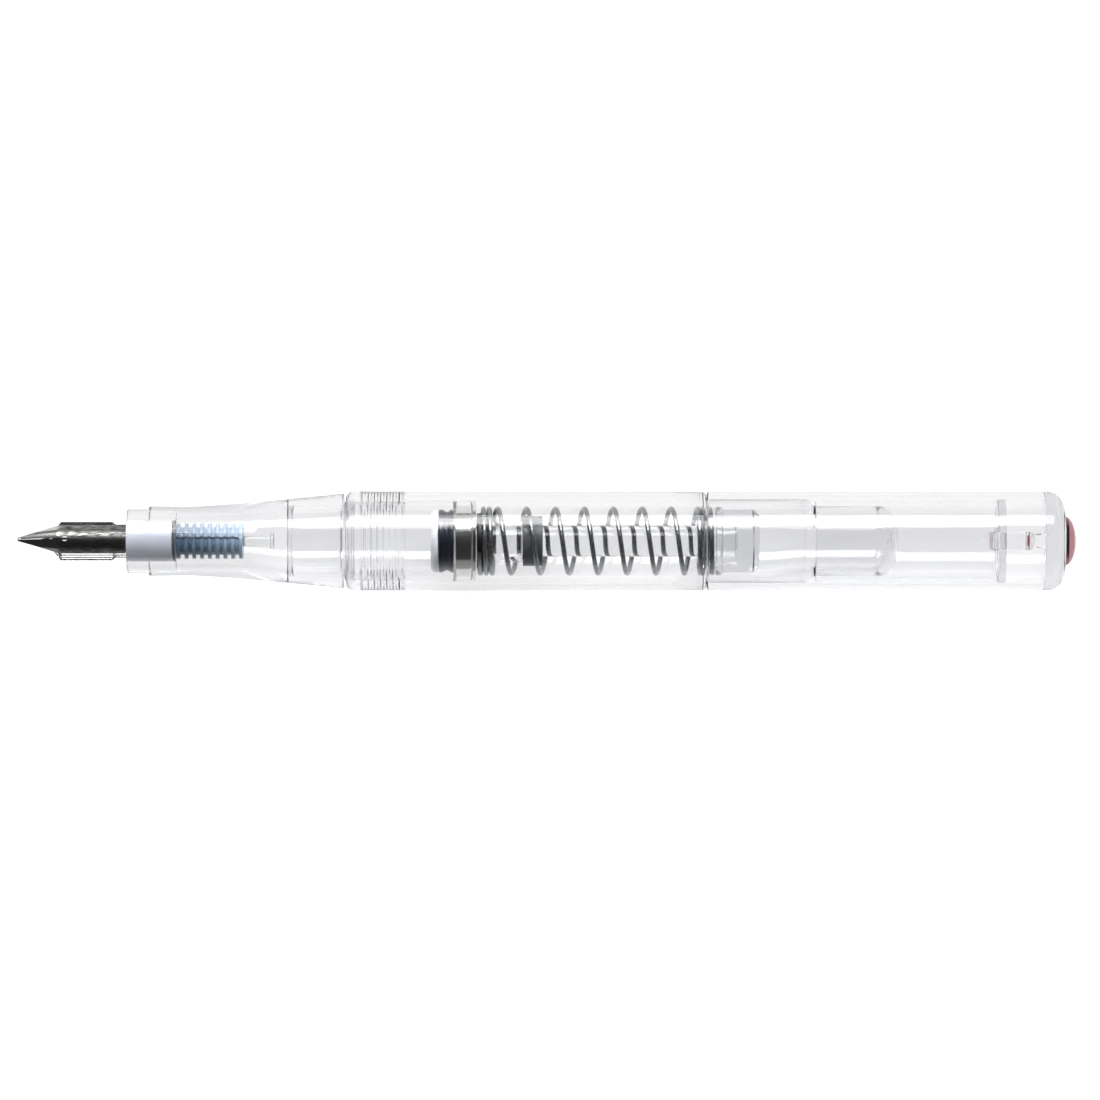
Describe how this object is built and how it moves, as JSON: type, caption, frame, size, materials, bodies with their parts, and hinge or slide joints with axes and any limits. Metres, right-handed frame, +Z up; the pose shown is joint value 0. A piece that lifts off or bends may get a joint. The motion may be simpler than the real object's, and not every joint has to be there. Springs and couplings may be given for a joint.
{
  "type": "fountain pen",
  "caption": "Clear fountain pen with a spring-loaded piston filler, steel nib, unscrewing barrel and a pull-off cap posted on the tail.",
  "frame": {"origin": "half way along the posted pen, on the surface it lies on, under the pen's axis", "axes": "+X from the nib's point to the cap's end, +Z up, the way the nib's upper face looks"},
  "size_m": [0.154, 0.0144, 0.0168],
  "materials": {
    "polished_steel": "polished",
    "spring_steel": "drawn wire",
    "clear_plastic": "clear, gloss",
    "inked_clear_plastic": "clear, stained with blue ink in the comb",
    "pale_plastic": "translucent bluish white",
    "grey_rubber": "matt",
    "black_rubber": "satin",
    "navy_rubber": "satin",
    "silicone": "translucent",
    "grey_plastic": "satin",
    "red_inlay": "gloss"
  },
  "bodies": {
    "grip": {"grip_section": "clear_plastic", "chamber_gasket": "silicone", "ink_chamber": "clear_plastic", "filler_collar": "polished_steel", "rod_guide": "clear_plastic", "guide_seal": "black_rubber", "rod_bush": "grey_plastic", "spring": "spring_steel"},
    "nib_unit": {"nib": "polished_steel", "feed": "inked_clear_plastic", "nib_housing": "pale_plastic", "housing_o_ring": "grey_rubber"},
    "plunger": {"piston_nose": "pale_plastic", "piston_seal": "navy_rubber", "plunger_rod": "clear_plastic", "plunger_button": "clear_plastic"},
    "barrel_seal": {"barrel_o_ring": "silicone"},
    "barrel": {"barrel": "clear_plastic"},
    "cap": {"cap_shell": "clear_plastic", "inner_cap": "clear_plastic", "finial_inlay": "red_inlay", "finial_lens": "clear_plastic"}
  },
  "joints": [
    {"name": "plunger_press", "type": "slide", "parent": "grip", "child": "plunger", "axis": [-1, 0, 0], "range_m": [0, 0.02], "stiffness_N_per_m": 450, "springref_m": -0.003, "deforming": ["spring"]},
    {"name": "nib_unit_pull", "type": "slide", "parent": "grip", "child": "nib_unit", "axis": [-1, 0, 0], "range_m": [0, 0.024]},
    {"name": "barrel_turn", "type": "hinge", "parent": "grip", "child": "barrel_seal", "pos_m": [-0.0283, 0, 0.00724], "axis": [1, 0, 0], "range_deg": [0, 2520]},
    {"name": "barrel_draw", "type": "slide", "parent": "barrel_seal", "child": "barrel", "axis": [1, 0, 0], "range_m": [0, 0.064]},
    {"name": "cap_pull", "type": "slide", "parent": "barrel", "child": "cap", "axis": [1, 0, 0], "range_m": [0, 0.032]}
  ]
}
